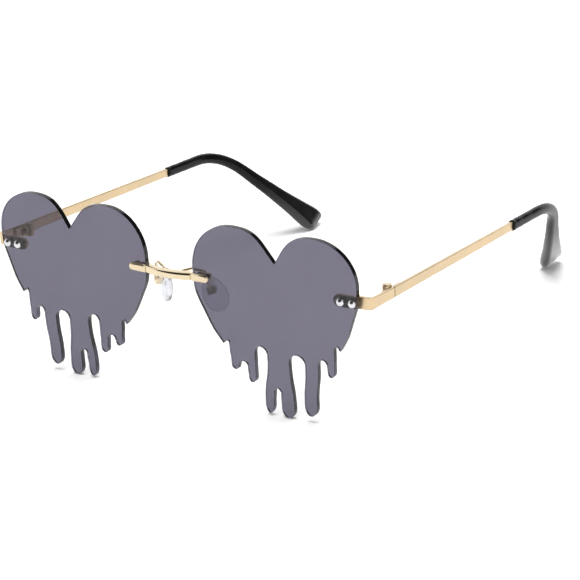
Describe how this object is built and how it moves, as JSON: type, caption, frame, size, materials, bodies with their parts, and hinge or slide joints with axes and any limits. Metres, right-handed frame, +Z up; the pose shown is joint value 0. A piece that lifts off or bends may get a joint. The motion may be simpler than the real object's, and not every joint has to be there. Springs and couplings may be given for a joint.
{
  "type": "sunglasses",
  "caption": "Rimless sunglasses with tinted dripping-heart lenses, a gold-coloured bridge, folding gold-coloured temples with black sleeves, and clear rocking nose pads.",
  "frame": {"origin": "on the floor that the drips and the temple tips stand on, under the middle of the whole part", "axes": "+Z up, the front faces -Y, the open temples run back along +Y, and +X is the wearer's left"},
  "size_m": [0.1434, 0.1614, 0.06],
  "materials": {
    "tinted_lens": "polished, grey-violet tint",
    "polished_gold": "polished gold-coloured plating",
    "satin_gold": "satin pale gold-coloured plating",
    "bright_steel": "bright steel",
    "black_sleeve": "glossy black",
    "clear_plastic": "clear",
    "clear_pad": "clear, soft"
  },
  "bodies": {
    "front": {"bridge": "polished_gold", "bridge_bushings_left": "clear_plastic", "bridge_bushings_right": "clear_plastic", "bridge_nuts_left": "polished_gold", "bridge_nuts_right": "polished_gold", "endpiece_left": "satin_gold", "endpiece_right": "satin_gold", "hinge_front_leaf_left": "satin_gold", "hinge_front_leaf_right": "satin_gold", "hinge_screw_left": "polished_gold", "hinge_screw_right": "polished_gold", "lens_bushings_left": "clear_plastic", "lens_bushings_right": "clear_plastic", "lens_left": "tinted_lens", "lens_nuts_left": "bright_steel", "lens_nuts_right": "bright_steel", "lens_right": "tinted_lens", "lens_screws_left": "bright_steel", "lens_screws_right": "bright_steel", "pad_arm_left": "polished_gold", "pad_arm_right": "polished_gold", "pad_screw_left": "bright_steel", "pad_screw_right": "bright_steel"},
    "temple_left_arm": {"temple_left": "satin_gold", "temple_tip_left": "black_sleeve", "hinge_temple_leaf_left": "satin_gold"},
    "pad_left": {"nose_pad_left": "clear_pad", "pad_core_left": "clear_plastic"},
    "temple_right_arm": {"temple_right": "satin_gold", "temple_tip_right": "black_sleeve", "hinge_temple_leaf_right": "satin_gold"},
    "pad_right": {"nose_pad_right": "clear_pad", "pad_core_right": "clear_plastic"}
  },
  "joints": [
    {"name": "temple_left_fold", "type": "hinge", "parent": "front", "child": "temple_left_arm", "pos_m": [0.06865, -0.06141, 0.0407], "axis": [-0.0012, 0.0471, 0.9989], "range_deg": [0, 88]},
    {"name": "temple_right_fold", "type": "hinge", "parent": "front", "child": "temple_right_arm", "pos_m": [-0.06865, -0.06141, 0.0407], "axis": [-0.0012, -0.0471, -0.9989], "range_deg": [0, 79]},
    {"name": "pad_left_rock", "type": "hinge", "parent": "front", "child": "pad_left", "pos_m": [0.0103, -0.07023, 0.03522], "axis": [0.794, 0.5235, 0.309], "range_deg": [-8, 8]},
    {"name": "pad_right_rock", "type": "hinge", "parent": "front", "child": "pad_right", "pos_m": [-0.0103, -0.07023, 0.03522], "axis": [0.794, -0.5235, -0.309], "range_deg": [-8, 8]}
  ]
}
